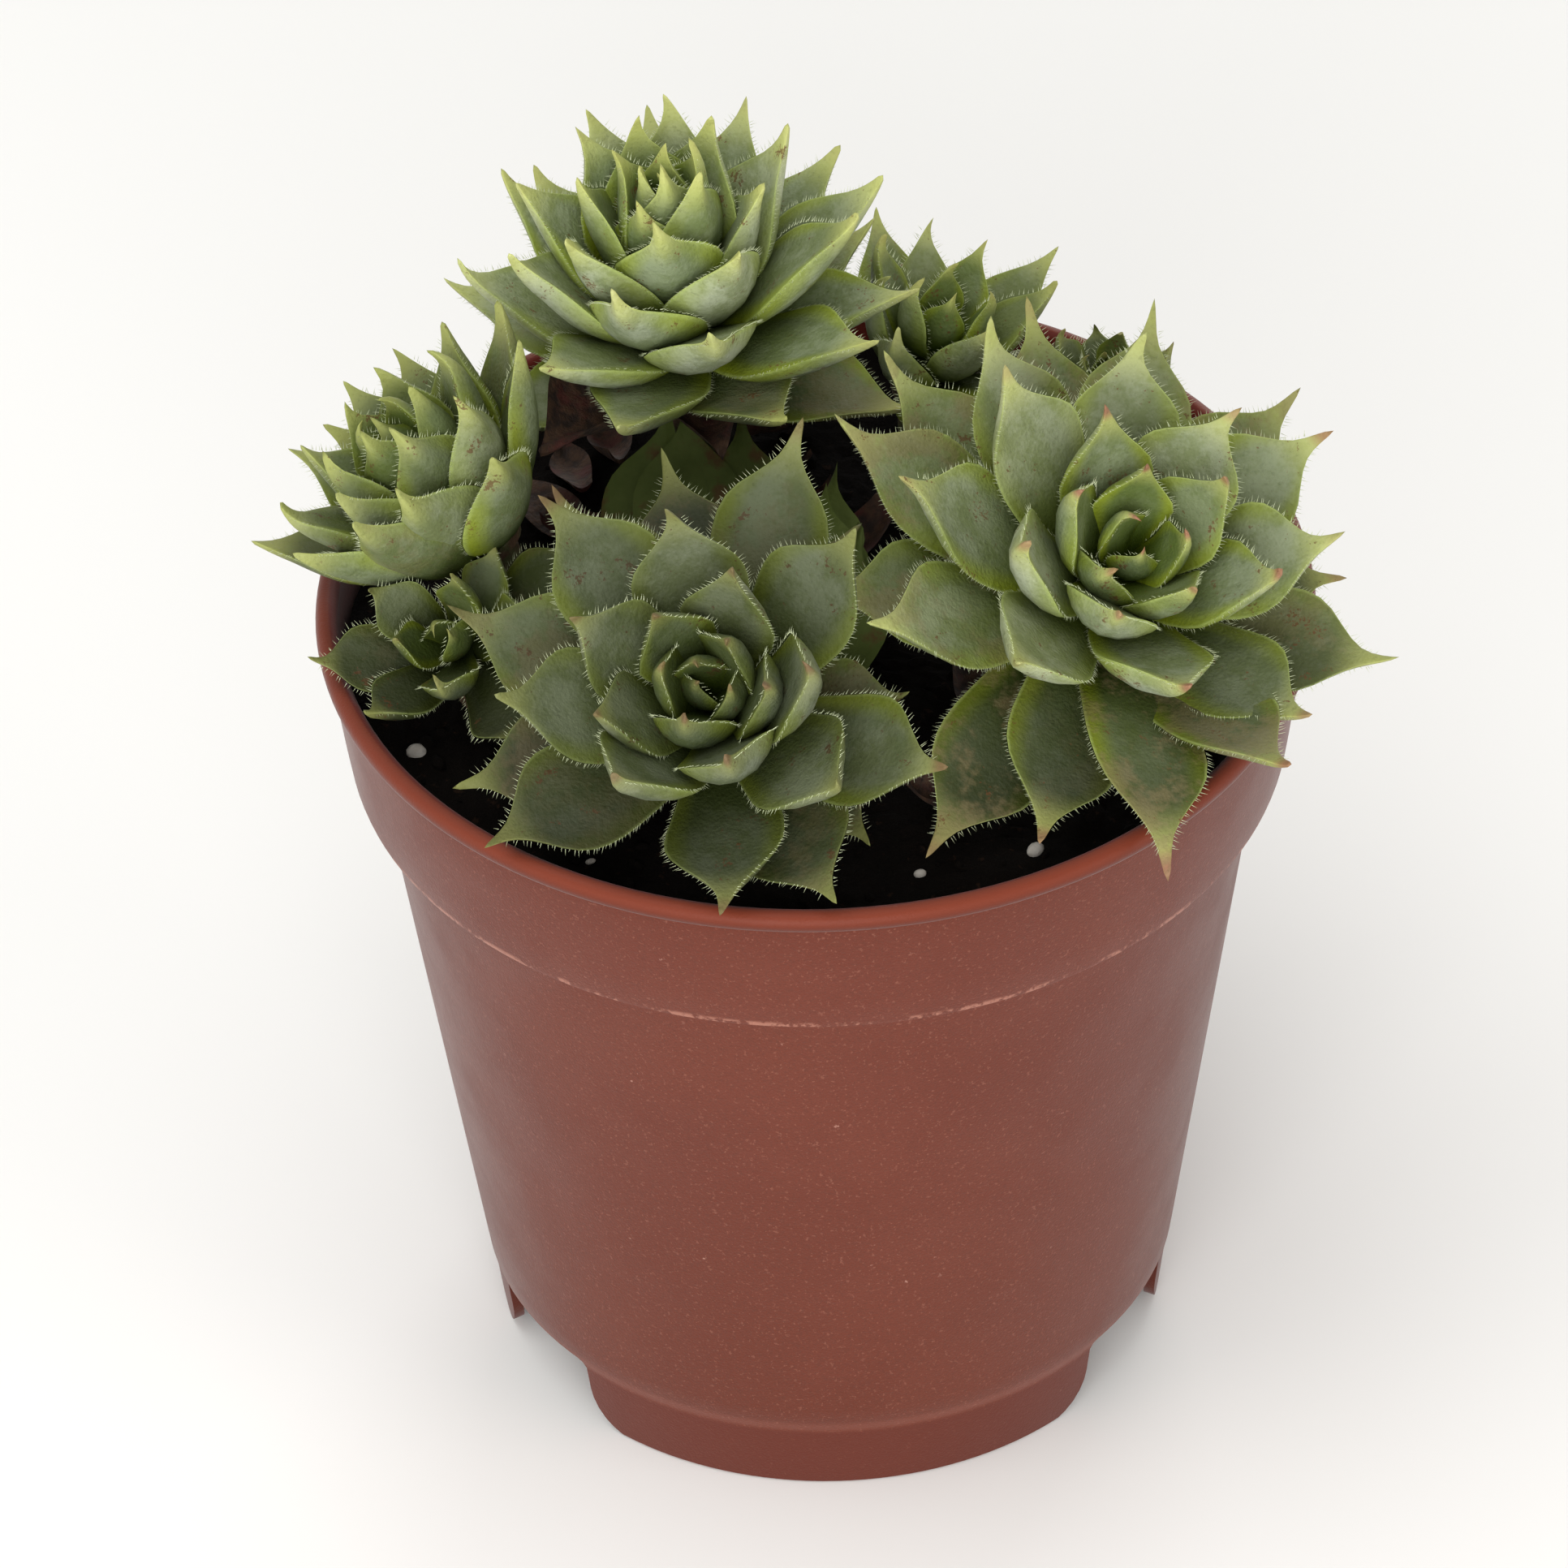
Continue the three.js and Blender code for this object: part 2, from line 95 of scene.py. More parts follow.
# ---- Rosettes: the same rule as the solids follow ----
# Lengths in millimetres, angles in degrees. Leaves are counted from the heart outward.
# place: the core's foot. azimuth, rise: where the rosette faces. start, turn: the first leaf's
# angle and the angle from each leaf to the next. count: the leaves. full: number of the first
# full-grown leaf. short, long: lengths of the youngest and a full leaf. closed, open: how far these
# stand up. spread, growth: how opening and length go with age. core: its radius and height. foot,
# stem: the stem's foot in the soil, and its radius. curl: arching of full leaves. slim: share of
# the usual width. gone: leaves that are lost. bloom, pale, blush: waxy bloom; painted light and
# shade, a lightness that scales the rosette's whole colour; red tips.
# bends: leaves off the rule, by how much turned, raised, stretched and bowed.
HEADS = {
    "head_front": dict(
        place=(-10, -29.4, 101.2), azimuth=-107, rise=55.5, start=230, turn=138.1, count=32,
        short=8, long=28.5, closed=89, open=4, spread=0.94, growth=0.7, full=24,
        core=(3, 7), foot=(-8, -21), stem=3, gone=(26,),
        bloom=0.9, pale=0.62, blush=0.8,
        bends={
            2: (15, -10), 8: (-5, -5), 10: (0, 5), 12: (-20, 10), 13: (0, 10), 18: (10, 0),
            19: (0, 0, 1.1), 20: (-10, 0), 22: (0, 0, 1.1), 23: (5, 10, 0.9), 24: (0, 5),
            25: (-15, 0, 0.6), 28: (-5, 0, 0.6), 29: (5, 15, 0.9), 30: (15, -10, 0.9),
            31: (-145, 15),
        },
    ),
    "head_right": dict(
        place=(29.5, -11.8, 102.2), azimuth=-52, rise=58, start=269, turn=137.6, count=36,
        short=8, long=31, closed=80, open=12, spread=0.8, growth=0.68, full=25,
        core=(3, 6.5), foot=(26, -7.5), stem=3, gone=(31,),
        bloom=1, pale=1.2, blush=1,
        bends={
            3: (10, -10), 4: (15, 0), 7: (10, 0), 10: (10, 0), 14: (-10, -5, 1.1), 18: (5, -5),
            19: (-5, 0), 21: (-5, -15, 1.1), 24: (-5, 5), 25: (10, -5), 26: (10, 20),
            28: (-5, -5, 0.8, -25), 29: (0, -5, 1.1, -10), 32: (0, 0, 0.9), 33: (0, 5),
            34: (5, 15, 1.1, -60),
        },
    ),
    "head_top": dict(
        place=(-13, 24.5, 108.2), azimuth=-149, rise=83, start=345, turn=137.5, count=44,
        short=17, long=25, closed=88, open=-2, spread=1, growth=0.32, full=42,
        core=(3, 7), foot=(-11.3, 24.5), stem=3, curl=8, pointed=True,
        bloom=1, pale=1.45, blush=0.1,
        bends={
            6: (10, 0, 0.9), 7: (5, -5), 8: (-5, 5), 13: (-5, 0, 0.9), 21: (10, -5, 1.1),
            22: (0, 5), 26: (0, 0, 1.1), 29: (5, -5, 1.1), 30: (0, 5), 32: (-10, 0),
            34: (0, 0, 1, -15), 35: (-10, -20, 0.9), 37: (0, 5, 0.9), 39: (10, 0, 0.9),
            40: (-15, 5, 0.9), 41: (0, 0, 1.2), 43: (90, 0, 0.6),
        },
    ),
    "head_left": dict(
        place=(-34.4, 2.1, 100.5), azimuth=172, rise=52, start=318.5, turn=137.5, count=26,
        short=12.3, long=23.6, closed=88, open=29, spread=0.7, growth=0.7, full=26,
        core=(3, 7), foot=(-28.5, 2), stem=3, curl=35, pointed=True,
        bloom=0.55, pale=1.05, blush=0,
        bends={
            19: (0, 5), 23: (0, 10), 24: (0, 20),
        },
    ),
    "head_rear": dict(
        place=(12, 28, 99.2), azimuth=-8, rise=74, start=34.5, turn=137.5, count=17,
        short=7, long=21, closed=87, open=21, spread=0.84, growth=0.62, full=16,
        core=(2.4, 5), foot=(12, 27.5), stem=2.7, slim=0.75, curl=35, pointed=True,
        bloom=0.7, pale=1.3, blush=0.2,
        bends={
            2: (-15, 0), 10: (0, -5, 0.9), 12: (0, 25, 0.8), 15: (-25, -10), 16: (20, -10),
        },
    ),
    "pup_right": dict(
        place=(31, 25, 96.2), azimuth=-70, rise=84, start=115, turn=137.5, count=11,
        short=6, long=12, closed=88, open=28, spread=0.9, growth=0.6, full=11,
        core=(2, 3.5), foot=(30.5, 24.5), stem=2.1, slim=0.75,
        bloom=0.6, pale=1, blush=0.4,
        bends={
            8: (0, 0, 0.8), 10: (-15, -10),
        },
    ),
    "pup_left": dict(
        place=(-36.5, -10.6, 95.2), azimuth=-126, rise=52, start=109, turn=137.5, count=12,
        short=6, long=16, closed=84, open=4, spread=0.88, growth=0.6, full=11.5,
        core=(2, 3.5), foot=(-34, -9.5), stem=2.1, slim=0.85,
        bloom=0.6, pale=0.75, blush=0.2,
        bends={
            7: (0, 5), 8: (-30, 0, 0.8), 9: (-10, 0), 10: (10, 15, 1, -25),
        },
    ),
}
WITHERED = {("head_top", 40), ("head_top", 41), ("head_top", 43)}
BEND_OUTER = 28
BEND_INNER = 55
WIDTH_RATIO = 0.45
WIDTH_BASE = 2.2
WIDTH_MOST = 12.6
THICK_WIDTH = 9
BUD_SHARE = 0.3
STEM_DEPTH = 12
STEM_SIDES = 20
CORE_SIDES = 24

# Stations along a leaf: place, share of the full width, thickness in millimetres.
LEAF_OUTLINE = (
    (0, 0.5, 2.8), (0.1, 0.59, 2.9), (0.2, 0.7, 3), (0.3, 0.81, 3), (0.4, 0.91, 2.95), (0.48, 0.98, 2.8),
    (0.55, 1, 2.65), (0.61, 0.98, 2.5), (0.67, 0.89, 2.3), (0.72, 0.73, 2.1), (0.765, 0.52, 1.9),
    (0.81, 0.32, 1.6), (0.85, 0.19, 1.35), (0.89, 0.12, 1.1), (0.93, 0.08, 0.8), (0.97, 0.045, 0.5),
)
POINTED_OUTLINE = (
    (0, 0.55, 2.9), (0.1, 0.68, 3), (0.2, 0.8, 3.05), (0.3, 0.9, 3), (0.38, 0.97, 2.9), (0.45, 1, 2.8),
    (0.52, 0.96, 2.6), (0.58, 0.87, 2.4), (0.64, 0.74, 2.2), (0.7, 0.58, 2), (0.755, 0.43, 1.8),
    (0.81, 0.29, 1.5), (0.86, 0.19, 1.25), (0.905, 0.12, 1), (0.945, 0.075, 0.75), (0.98, 0.04, 0.5),
)
BUD_OUTLINE = (
    (0, 0.5, 2.8), (0.15, 0.64, 2.85), (0.3, 0.82, 2.8), (0.42, 0.96, 2.7), (0.52, 1, 2.5),
    (0.62, 0.88, 2.2), (0.7, 0.66, 1.9), (0.77, 0.42, 1.5), (0.84, 0.22, 1.15), (0.91, 0.11, 0.8),
    (0.965, 0.05, 0.5),
)
TIP = (1, 0.02, 0.2)
LEAF_RING = 16
AGE_MOST = 1.2
FACE_SHARE = 0.35  # of the thickness, above a leaf's middle
KEEL_SHARE = 0.65  # of the thickness, below it
CUP = 0.16  # rise of the margins over the midline, for the width
CUP_START = 0.25
CUP_RUN = 0.5
TIP_START = 0.8
TIP_RUN = 0.2
TIP_SWAY = 1.6
TIP_HOOK = 2.2
WAVE = 0.25

# ---- Hairs along the leaf margins ----
HAIR_RADIUS = 0.04
HAIR_STEP = 0.36
HAIR_ZONE = (0.16, 0.9)
HAIR_LENGTHS = (0.4, 0.9)
HAIR_START = 0.1  # of its length, off the margin
HAIR_SHIFT = 0.1
HAIR_SWAY = 0.14
HAIR_FORWARD = 0.55
HAIR_OUTWARD = 0.7
HAIR_UPWARD = 0.15

# ---- Old leaves on the soil: dry ones all over, faded ones between the heads ----
LITTER = 26
LITTER_REACH = 38
LITTER_LENGTHS = (9, 15)
LITTER_CURLS = (0.5, 2.5)
LITTER_WIDTH = 0.2  # half, for the length
FADED = 18
FADED_MIDDLE = (-9, 0)
FADED_REACH = 14
FADED_LENGTHS = (15, 20)
FADED_TURNS = (1.1, 2.1)
FADED_LEANS = (0.5, 0.8)
FADED_CURL = 0.3
FADED_WIDTH = 0.3


# ---- Shaping ----
def deselect():
    bpy.ops.object.select_all(action="DESELECT")


def pick(obj):
    """Makes the object the one that the next operators act on."""
    deselect()
    obj.select_set(True)
    bpy.context.view_layer.objects.active = obj


def copy_of(model):
    """A copy with a mesh of its own."""
    copy = model.copy()
    copy.data = model.data.copy()
    bpy.context.collection.objects.link(copy)
    return copy


def join_all(objects, target):
    deselect()
    for obj in objects:
        obj.select_set(True)
    bpy.context.view_layer.objects.active = target
    bpy.ops.object.join()
    return target


def finish_piece(obj, name, angle=40):
    """Places the object's shape in its mesh, with faces outward and soft shading."""
    obj.name = name
    obj.data.name = name
    pick(obj)
    bpy.ops.object.transform_apply(location=True, rotation=True, scale=True)
    bpy.ops.object.mode_set(mode="EDIT")
    bpy.ops.mesh.select_all(action="SELECT")
    bpy.ops.mesh.normals_make_consistent(inside=False)
    bpy.ops.object.mode_set(mode="OBJECT")
    bpy.ops.object.shade_smooth_by_angle(angle=math.radians(angle))
    return obj


def pull_up(stations, r, z):
    """Pulls the selected ring on through radii and heights, and closes it at radius 0."""
    for radius, height in stations:
        lift = {"value": (0, 0, (height - z) * MM)}
        bpy.ops.mesh.extrude_region_move(TRANSFORM_OT_translate=lift)
        if radius == 0:
            bpy.ops.mesh.merge(type="CENTER")
            break
        grow = radius / r
        bpy.ops.transform.resize(value=(grow, grow, 1), center_override=(0, 0, height * MM))
        r, z = radius, height
    bpy.ops.object.mode_set(mode="OBJECT")


def rings_up(profile, sides):
    """A round skin, pulled up ring by ring from the first radius and height to the last."""
    (r, z), *stations = profile
    deselect()
    bpy.ops.mesh.primitive_circle_add(vertices=sides, radius=r * MM, location=(0, 0, z * MM))
    obj = bpy.context.object
    bpy.ops.object.transform_apply(location=True, rotation=False, scale=False)
    bpy.ops.object.mode_set(mode="EDIT")
    bpy.ops.mesh.select_all(action="SELECT")
    pull_up(stations, r, z)
    return obj


def select_ring(obj, radius, height):
    """Selects the ring of edges at that radius and height, and stays in edit mode."""
    bpy.ops.object.mode_set(mode="EDIT")
    bpy.ops.mesh.select_all(action="DESELECT")
    bpy.ops.object.mode_set(mode="OBJECT")
    near = 0.05 * MM
    for v in obj.data.vertices:
        v.select = abs(v.co.z - height * MM) < near and abs(v.co.xy.length - radius * MM) < near
    for e in obj.data.edges:
        a, b = e.vertices
        e.select = obj.data.vertices[a].select and obj.data.vertices[b].select
    bpy.ops.object.mode_set(mode="EDIT")
    bpy.ops.mesh.select_mode(type="VERT")


def cut_with(obj, cutter):
    """Cuts the cutter out of the object and removes it."""
    pick(obj)
    cut = obj.modifiers.new("cut", "BOOLEAN")
    cut.operation = "DIFFERENCE"
    cut.solver = "EXACT"
    cut.object = cutter
    bpy.ops.object.modifier_apply(modifier="cut")
    bpy.data.objects.remove(cutter)


# ---- Pot ----
def pot_wall(z):
    """The wall's outer radius at a height."""
    widening = BODY_TOP_RADIUS - FOOT_TOP_RADIUS
    return FOOT_TOP_RADIUS + widening * (z - FOOT_HEIGHT) / (COLLAR_BOTTOM - FOOT_HEIGHT)


def make_pot():
    """The pot's skin from the foot up and over the lip to the floor, then its underside and cuts."""
    # Foot ring and wall.
    skin = [
        (FOOT_RADIUS, FOOT_ROUND), (FOOT_RADIUS + 0.2, 1.5), (FOOT_TOP_RADIUS - 0.35, 8.2),
        (FOOT_TOP_RADIUS - 0.3, 8.7), (FOOT_TOP_RADIUS + 0.05, 9.4),
    ]
    skin += [(pot_wall(z), z) for z in (12, 20, 30, 40, 50, 60, 68, 73)]
    # Ledge under the collar, and the collar up to the lip.
    skin += [
        (BODY_TOP_RADIUS - 0.05, COLLAR_BOTTOM - 0.5), (BODY_TOP_RADIUS + 0.25, COLLAR_BOTTOM - 0.1),
        (COLLAR_RADIUS - 0.5, COLLAR_BOTTOM), (COLLAR_RADIUS - 0.12, COLLAR_BOTTOM + 0.15),
        (COLLAR_RADIUS + 0.02, COLLAR_BOTTOM + 0.6), (50.1, 80), (50.7, 84.5),
        (COLLAR_TOP_RADIUS - 0.05, 89.6), (COLLAR_TOP_RADIUS, LIP_BOTTOM - 0.25),
        (COLLAR_TOP_RADIUS + 0.25, LIP_BOTTOM),
    ]
    # Lip bead, round in section.
    bead = LIP_WIDTH / 2
    middle = RIM_RADIUS - bead
    for degrees in range(-40, 200, 20):
        a = math.radians(degrees)
        skin.append((middle + bead * math.cos(a), POT_HEIGHT - bead + bead * math.sin(a)))
    # Inside, down to the raised floor.
    lip_inside = RIM_RADIUS - LIP_WIDTH
    skin += [
        (lip_inside + 0.15, LIP_BOTTOM - 0.5), (lip_inside - 0.05, 88), (49.2, 82),
        (COLLAR_RADIUS - WALL, 76.4),
    ]
    skin += [(pot_wall(z) - WALL, z) for z in (74.6, 40, FLOOR_TOP)]
    skin += [(FLOOR_RING, FLOOR_TOP), (0, FLOOR_TOP)]
    pot = rings_up(skin, POT_SIDES)
    # Underside, from the foot's edge inward and up to the floor.
    select_ring(pot, FOOT_RADIUS, FOOT_ROUND)
    recess = [
        (FOOT_RADIUS - FOOT_ROUND, 0), (FOOT_RADIUS - WALL, 0),
        (pot_wall(FLOOR_UNDERSIDE) - WALL, FLOOR_UNDERSIDE), (FLOOR_RING, FLOOR_UNDERSIDE),
        (0, FLOOR_UNDERSIDE),
    ]
    pull_up(recess, FOOT_RADIUS, FOOT_ROUND)
    finish_piece(pot, "pot_moulded")
    floor_middle = (FLOOR_UNDERSIDE + FLOOR_TOP) / 2
    for angle in NOTCH_ANGLES:
        turn = Matrix.Rotation(math.radians(angle), 4, "Z")
        cut_with(pot, notch_cutter(turn))
        deselect()
        bpy.ops.mesh.primitive_cylinder_add(
            vertices=DRAIN_SIDES, radius=DRAIN_RADIUS * MM, depth=DRAIN_CUT * MM,
            location=turn @ Vector((DRAIN_PLACE * MM, 0, floor_middle * MM)),
        )
        cut_with(pot, bpy.context.object)
    return finish_piece(pot, "pot_moulded", angle=32)


def notch_cutter(turn):
    """A block as wide as a notch whose lower corners flare out round."""
    half = FOOT_RADIUS * math.radians(NOTCH_WIDTH / 2)
    flank = [(-half - NOTCH_FLARE, -1)]
    for step in range(NOTCH_STEPS + 1):
        a = math.radians(90 * step / NOTCH_STEPS)
        flank.append((-half - NOTCH_FLARE * (1 - math.sin(a)), NOTCH_FLARE * (1 - math.cos(a))))
    flank += [(-half, NOTCH_HEIGHT - 1), (-half + 1, NOTCH_HEIGHT)]
    outline = flank + [(-s, z) for s, z in reversed(flank)]
    deselect()
    bpy.ops.mesh.primitive_circle_add(vertices=len(outline), radius=MM, fill_type="NGON")
    block = bpy.context.object
    for v, (s, z) in zip(block.data.vertices, outline):
        v.co = (NOTCH_INNER * MM, s * MM, z * MM)
    bpy.ops.object.mode_set(mode="EDIT")
    bpy.ops.mesh.select_all(action="SELECT")
    outward = {"value": (NOTCH_DEEP * MM, 0, 0)}
    bpy.ops.mesh.extrude_region_move(TRANSFORM_OT_translate=outward)
    bpy.ops.mesh.select_all(action="SELECT")
    bpy.ops.mesh.normals_make_consistent(inside=False)
    bpy.ops.object.mode_set(mode="OBJECT")
    block.data.transform(turn)
    return block


# ---- Soil ----
def soil_height(x, y):
    """The soil's height, a low mound with lumps."""
    mound = SOIL_MOUND * (1 - (x * x + y * y) / RIM_RADIUS**2)
    lumps = np.sin(x / 4.1 + 1.3) * np.cos(y / 3.7) + np.sin((x - y) / 2.9) * 0.5
    return SOIL_EDGE + mound + SOIL_RELIEF * lumps


def coordinates(mesh):
    co = np.empty(len(mesh.vertices) * 3)
    mesh.vertices.foreach_get("co", co)
    return co.reshape(-1, 3)


def make_soil():
    """The soil filling the pot, its top roughened and strewn with crumbs."""
    profile = [
        (SOIL_BOTTOM_RADIUS, SOIL_BOTTOM), (pot_wall(40) - SOIL_GAP, 40),
        (pot_wall(74) - SOIL_GAP, 74), (47.9, 76.6), (SOIL_EDGE_RADIUS, SOIL_EDGE),
    ]
    for ring in range(1, SOIL_RINGS):
        profile.append((SOIL_EDGE_RADIUS * (1 - ring / SOIL_RINGS), SOIL_EDGE))
    soil = rings_up(profile + [(0, SOIL_EDGE)], SOIL_SIDES)
    pick(soil)
    select_ring(soil, SOIL_BOTTOM_RADIUS, SOIL_BOTTOM)
    bpy.ops.mesh.edge_face_add()
    bpy.ops.object.mode_set(mode="OBJECT")
    co = coordinates(soil.data)
    top = co[:, 2] > (SOIL_EDGE - 0.01) * MM
    x, y = co[top, 0] / MM, co[top, 1] / MM
    rough = 0.35 * np.sin(x * 1.7 + 2 * np.sin(y * 0.9)) * np.sin(y * 1.9 + 1.5 * np.sin(x * 1.1))
    rough += 0.16 * np.sin(x * 4.3 + 3 * np.sin(y * 2.1)) * np.sin(y * 3.9 + 2 * np.sin(x * 2.7))
    co[top, 2] = (soil_height(x, y) + rough) * MM
    soil.data.vertices.foreach_set("co", co.ravel())
    crumbs = [soil]
    deselect()
    bpy.ops.mesh.primitive_ico_sphere_add(subdivisions=1, radius=1)
    crumb = bpy.context.object
    for _ in range(CRUMBS):
        r = CRUMB_REACH * math.sqrt(dice.random())
        a = dice.random() * math.tau
        size = 0.35 + 1.1 * dice.random() ** 2.5
        crumbs.append(put_crumb(crumb, r * math.cos(a), r * math.sin(a), size))
    bpy.data.objects.remove(crumb)
    join_all(crumbs, soil)
    return finish_piece(soil, "potting_soil", angle=25)


def put_crumb(crumb, x, y, size):
    """One copy of the crumb, squashed and turned at random, half sunk in the soil."""
    copy = copy_of(crumb)
    spin = Matrix.Rotation(dice.random() * math.tau, 4, "Z")
    spin = spin @ Matrix.Rotation(dice.random() * math.tau, 4, "X")
    depth = size * (0.5 + 0.4 * dice.random())
    shape = Matrix.Diagonal((size * MM, depth * MM, size * 0.6 * MM, 1))
    z = float(soil_height(x, y)) + 0.2 * size
    copy.data.transform(Matrix.Translation((x * MM, y * MM, z * MM)) @ spin @ shape)
    return copy


def make_grit():
    """The few pale grains, as one piece."""
    deselect()
    bpy.ops.mesh.primitive_ico_sphere_add(subdivisions=2, radius=1)
    stone = bpy.context.object
    stones = [put_crumb(stone, x, y, size) for x, y, size in GRIT]
    bpy.data.objects.remove(stone)
    join_all(stones, stones[0])
    return finish_piece(stones[0], "grit", angle=60)


# ---- Rosettes ----
def unit(v):
    return v / np.linalg.norm(v)


def facing(head):
    """The direction that a rosette faces and two directions square to it."""
    a, e = math.radians(head["azimuth"]), math.radians(head["rise"])
    face = np.array([math.cos(e) * math.cos(a), math.cos(e) * math.sin(a), math.sin(e)])
    side = np.array([1.0, 0, 0])
    side = unit(side - side.dot(face) * face)
    return face, side, np.cross(face, side)


def leaf_rule(head, number):
    """The leaf's width, length and age, and a rule that lays points given along, aside and over it."""
    given = head["bends"].get(number, ())
    turned, raised, stretched, bowed = given + (0, 0, 1, 0)[len(given):]
    age = min(number / head["full"], AGE_MOST)
    grown = min(age, 1)
    azimuth = math.radians(head["start"] - head["turn"] * number + turned)
    opening = head["closed"] + (head["open"] - head["closed"]) * age ** head["spread"]
    gained = (head["long"] - head["short"]) * grown ** head["growth"]
    length = (head["short"] + gained) * stretched
    curl = head.get("curl", BEND_INNER)
    bend = math.radians(BEND_OUTER + (curl - BEND_OUTER) * (1 - grown) + bowed)
    start = math.radians(opening + raised) - bend / 2
    width = min(WIDTH_MOST, WIDTH_RATIO * length + WIDTH_BASE) * head.get("slim", 1)
    core_radius, core_height = head["core"]
    face, side, up = facing(head)
    out = side * math.cos(azimuth) + up * math.sin(azimuth)
    across = np.cross(face, out)
    foot = np.array(head["place"], float)

    def lay(share, aside, over):
        heading = start + bend * share
        arc = length / bend
        reach = core_radius * age + arc * (np.sin(heading) - math.sin(start)) - np.sin(heading) * over
        height = core_height * (1 - age) - arc * (np.cos(heading) - math.cos(start))
        height = height + np.cos(heading) * over
        return foot + np.outer(reach, out) + np.outer(height, face) + np.outer(aside, across)

    return width, length, age, lay


def make_leaf_blank(outline):
    """One leaf lying flat along +Y: 1 long, 2 wide at its broadest, its thickness in millimetres."""
    deselect()
    bpy.ops.mesh.primitive_circle_add(
        vertices=LEAF_RING, radius=1, fill_type="NGON", rotation=(math.pi / 2, 0, 0)
    )
    blank = bpy.context.object
    bpy.ops.object.transform_apply(location=False, rotation=True, scale=False)
    bpy.ops.object.mode_set(mode="EDIT")
    bpy.ops.mesh.select_all(action="SELECT")
    place, wide, thick = outline[0]
    bpy.ops.transform.resize(value=(wide, 1, thick), center_override=(0, 0, 0))
    for next_place, next_wide, next_thick in outline[1:]:
        forward = {"value": (0, next_place - place, 0)}
        bpy.ops.mesh.extrude_region_move(TRANSFORM_OT_translate=forward)
        grow = (next_wide / wide, 1, next_thick / thick)
        bpy.ops.transform.resize(value=grow, center_override=(0, next_place, 0))
        place, wide, thick = next_place, next_wide, next_thick
    bpy.ops.mesh.extrude_region_move(TRANSFORM_OT_translate={"value": (0, 1 - place, 0)})
    bpy.ops.mesh.merge(type="CENTER")
    bpy.ops.object.mode_set(mode="OBJECT")
    return blank


def leaf_section(outline, share):
    """Share of the full width, and thickness in millimetres, at places along a leaf."""
    places, wides, thicks = np.array(outline + (TIP,)).T
    return np.interp(share, places, wides), np.interp(share, places, thicks)


def cupping(share):
    """0 at the leaf's base, 1 where its margins stand full over the midline."""
    return np.clip((share - CUP_START) / CUP_RUN, 0, 1)


def note(mesh, name, values):
    """Keeps one value per vertex for the leaf material."""
    kept = mesh.attributes.get(name) or mesh.attributes.new(name, "FLOAT", "POINT")
    kept.data.foreach_set("value", np.asarray(values, float))


def grow_leaf(blank, outline, head_name, number):
    """One leaf of a rosette, and where the hairs along its margins start and point to."""
    head = HEADS[head_name]
    width, length, age, lay = leaf_rule(head, number)
    leaf = copy_of(blank)
    co = coordinates(leaf.data)
    share = co[:, 1]
    wide, thick = leaf_section(outline, share)
    across = np.clip(co[:, 0] / wide, -1, 1)
    rise = np.clip(co[:, 2] / thick, -1, 1)
    lens = np.sign(rise) * np.abs(rise) ** 1.5
    plump = 1 + 0.6 * math.sin(math.pi * min(age, 1)) * np.sin(math.pi * share)
    stout = min(1, width / THICK_WIDTH)
    over = np.where(lens > 0, FACE_SHARE, KEEL_SHARE * plump) * lens * thick * stout
    cup = CUP * width * wide * across**2 * cupping(share)
    withered = (head_name, number) in WITHERED
    if withered:
        over = over * 0.35 + 0.5 * np.sin(9 * share + 3 * across)
        cup = cup * 3
    tip = np.clip((share - TIP_START) / TIP_RUN, 0, 1) ** 2
    sway = (dice.random() - 0.5) * TIP_SWAY * tip
    hook = (dice.random() - 0.2) * TIP_HOOK * tip
    wave = WAVE * across * np.sin(share * 7 + dice.random() * 6.3)
    points = lay(share, across * wide * width / 2 + sway, over + cup + hook + wave)
    leaf.data.vertices.foreach_set("co", (points * MM).ravel())
    note(leaf.data, "along", share)
    note(leaf.data, "across", across)
    note(leaf.data, "upper", 0.5 + 0.5 * rise)
    tone = dice.random()
    same_all_over = dict(age=age, tone=tone, bloom=head["bloom"], pale=head["pale"], blush=head["blush"])
    for name, value in same_all_over.items():
        note(leaf.data, name, np.full(len(share), value))
    leaf.data.materials.clear()
    leaf.data.materials.append(leaf_dry if withered else leaf_green)
    margins = []
    if not withered:
        first, last = HAIR_ZONE
        steps = np.arange(first * length, last * length, HAIR_STEP) / length
        for edge in (-1, 1):
            s = steps + dice.normal(0, HAIR_SHIFT / length, len(steps))
            half = leaf_section(outline, s)[0] * width / 2
            rim = CUP * 2 * half * cupping(s)
            root = lay(s, edge * half * 0.99, rim)
            beyond = lay(s + HAIR_FORWARD / length, edge * (half + HAIR_OUTWARD), rim + HAIR_UPWARD)
            margins.append((root, beyond))
    return leaf, margins


